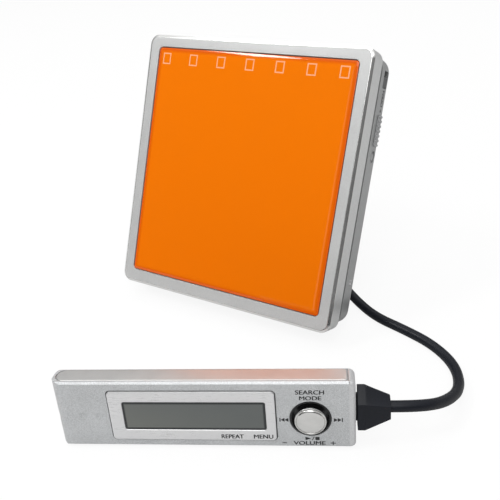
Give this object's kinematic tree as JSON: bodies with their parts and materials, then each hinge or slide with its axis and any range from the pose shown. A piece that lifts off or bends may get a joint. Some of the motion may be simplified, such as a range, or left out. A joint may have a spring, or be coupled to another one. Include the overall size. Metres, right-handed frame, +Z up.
{
  "type": "portable minidisc player",
  "caption": "Pocket disc player with a hinged tinted lid, disc holder, pickup and battery, wired to a slim remote with a display and a control stick.",
  "frame": {"origin": "on the surface the part stands on, in the middle of the outline of the player and remote without the lead", "axes": "+X to the right along the width of the player, +Y to the back, +Z up; the player leans back by 26.5 degrees and the remote by 8, turned by 24.6"},
  "size_m": [0.1173, 0.116, 0.0764],
  "materials": {
    "silver_paint": "satin",
    "groove_paint": "satin",
    "panel_tint": "gloss",
    "sheet_steel": "satin",
    "pin_steel": "polished",
    "motor_can": "satin",
    "black_plastic": "matt",
    "lens_glass": "polished",
    "board_green": "satin",
    "damper_rubber": "matt",
    "cell_case": "satin",
    "contact_brass": "satin",
    "control_grey": "satin",
    "remote_paint": "satin",
    "brushed_plate": "brushed",
    "bezel_metal": "satin",
    "window_tint": "gloss",
    "lcd_grey": "satin",
    "cap_chrome": "polished",
    "clip_plastic": "satin",
    "cord_rubber": "satin",
    "tie_plastic": "matt"
  },
  "bodies": {
    "housing": {"rear_shell": "silver_paint", "mid_frame": "groove_paint", "deck_plate": "sheet_steel", "hinge_pins": "pin_steel", "guide_rods": "pin_steel", "door_pin": "pin_steel", "clip_pin": "pin_steel", "deck_screws": "pin_steel", "side_screw": "pin_steel", "latch_spring": "pin_steel", "clip_spring": "pin_steel", "deck_dampers": "damper_rubber", "spindle_motor": "motor_can", "feed_motor": "motor_can", "battery_cell": "cell_case", "battery_contacts": "contact_brass", "contact_board": "board_green", "main_board": "board_green", "board_chips": "black_plastic", "remote_socket": "black_plastic", "dc_socket": "black_plastic", "play_contact": "black_plastic", "remote_front_shell": "remote_paint", "remote_rear_shell": "remote_paint", "remote_end_cap": "remote_paint", "remote_top_plate": "brushed_plate", "display_bezel": "bezel_metal", "display_window": "window_tint", "display_panel": "lcd_grey", "remote_board": "board_green", "key_switches": "black_plastic", "earphone_socket": "black_plastic", "stick_well": "black_plastic", "strain_relief": "cord_rubber", "cord_front": "cord_rubber", "cord_rear": "cord_rubber", "cord_coil": "cord_rubber", "cord_tie": "tie_plastic", "lead_plug": "cord_rubber"},
    "lid": {"lid_frame": "silver_paint", "front_panel": "panel_tint", "lid_shell": "silver_paint"},
    "holder": {"disc_holder": "sheet_steel"},
    "spindle": {"turntable": "sheet_steel"},
    "pickup": {"pickup_sled": "black_plastic", "pickup_lens": "lens_glass"},
    "feed": {"feed_screw": "pin_steel"},
    "door": {"battery_door": "silver_paint"},
    "latch": {"open_slider": "silver_paint", "latch_bar": "sheet_steel"},
    "hold": {"hold_switch": "control_grey"},
    "play": {"play_button": "silver_paint"},
    "stick_ring": {"stick_gimbal": "sheet_steel"},
    "stick_post": {"stick_stem": "pin_steel"},
    "stick_top": {"stick_cap": "cap_chrome"},
    "repeat": {"repeat_key": "remote_paint"},
    "menu": {"menu_key": "remote_paint"},
    "volume": {"volume_rocker": "remote_paint"},
    "remote_hold": {"remote_hold_switch": "black_plastic"},
    "clip": {"remote_clip": "clip_plastic"}
  },
  "joints": [
    {"name": "lid_hinge", "type": "hinge", "parent": "housing", "child": "lid", "pos_m": [-0.04516, 0.02902, 0.03802], "axis": [0, -0.4462, -0.8949], "range_deg": [0, 60]},
    {"name": "holder_swing", "type": "hinge", "parent": "housing", "child": "holder", "pos_m": [-0.04516, 0.02902, 0.03802], "axis": [0, -0.4462, -0.8949], "range_deg": [0, 30]},
    {"name": "disc_spin", "type": "hinge", "parent": "housing", "child": "spindle", "pos_m": [-0.00966, 0.02965, 0.03771], "axis": [0, -0.8949, 0.4462], "continuous": true},
    {"name": "pickup_slide", "type": "slide", "parent": "housing", "child": "pickup", "axis": [0, -0.4462, -0.8949], "range_m": [0, 0.016]},
    {"name": "feed_turn", "type": "hinge", "parent": "housing", "child": "feed", "pos_m": [-0.02266, 0.02354, 0.01918], "axis": [0, 0.4462, 0.8949], "range_deg": [0, 3600]},
    {"name": "battery_door_hinge", "type": "hinge", "parent": "housing", "child": "door", "pos_m": [-0.04516, 0.03912, 0.04908], "axis": [0, -0.8949, 0.4462], "range_deg": [0, 95]},
    {"name": "open_slide", "type": "slide", "parent": "housing", "child": "latch", "axis": [0, 0.4462, 0.8949], "range_m": [0, 0.0026], "stiffness_N_per_m": 200, "deforming": ["latch_spring"]},
    {"name": "hold_slide", "type": "slide", "parent": "housing", "child": "hold", "axis": [0, 0.4462, 0.8949], "range_m": [0, 0.0016]},
    {"name": "play_press", "type": "slide", "parent": "housing", "child": "play", "axis": [-1, 0, 0], "range_m": [0, 0.0004], "stiffness_N_per_m": 300},
    {"name": "stick_tilt_x", "type": "hinge", "parent": "housing", "child": "stick_ring", "pos_m": [0.03535, -0.02433, 0.00851], "axis": [0.9092, 0.4163, 0], "range_deg": [-6, 6], "stiffness_Nm_per_rad": 0.02},
    {"name": "stick_tilt_y", "type": "hinge", "parent": "stick_ring", "child": "stick_post", "pos_m": [0.03535, -0.02433, 0.00851], "axis": [-0.0579, 0.1265, 0.9903], "range_deg": [-6, 6], "stiffness_Nm_per_rad": 0.02},
    {"name": "stick_press", "type": "slide", "parent": "stick_post", "child": "stick_top", "axis": [-0.4122, 0.9004, -0.1392], "range_m": [0, 0.0003], "stiffness_N_per_m": 400},
    {"name": "repeat_press", "type": "slide", "parent": "housing", "child": "repeat", "axis": [-0.0579, 0.1265, 0.9903], "range_m": [0, 0.0003], "stiffness_N_per_m": 400},
    {"name": "menu_press", "type": "slide", "parent": "housing", "child": "menu", "axis": [-0.0579, 0.1265, 0.9903], "range_m": [0, 0.0003], "stiffness_N_per_m": 400},
    {"name": "volume_rock", "type": "hinge", "parent": "housing", "child": "volume", "pos_m": [0.03548, -0.02606, 0.00197], "axis": [0.4122, -0.9004, 0.1392], "range_deg": [-4, 4], "stiffness_Nm_per_rad": 0.02},
    {"name": "remote_hold_slide", "type": "slide", "parent": "housing", "child": "remote_hold", "axis": [-0.0579, 0.1265, 0.9903], "range_m": [0, 0.002]},
    {"name": "clip_hinge", "type": "hinge", "parent": "housing", "child": "clip", "pos_m": [0.01038, -0.03129, 0.01157], "axis": [0.9092, 0.4163, 0], "range_deg": [0, 22], "stiffness_Nm_per_rad": 0.05, "springref_deg": -11.46}
  ],
  "couplings": [
    {"joint": "holder_swing", "follows": "lid_hinge", "ratio": 0.5},
    {"joint": "feed_turn", "follows": "pickup_slide", "rad_per_m": 3927}
  ]
}
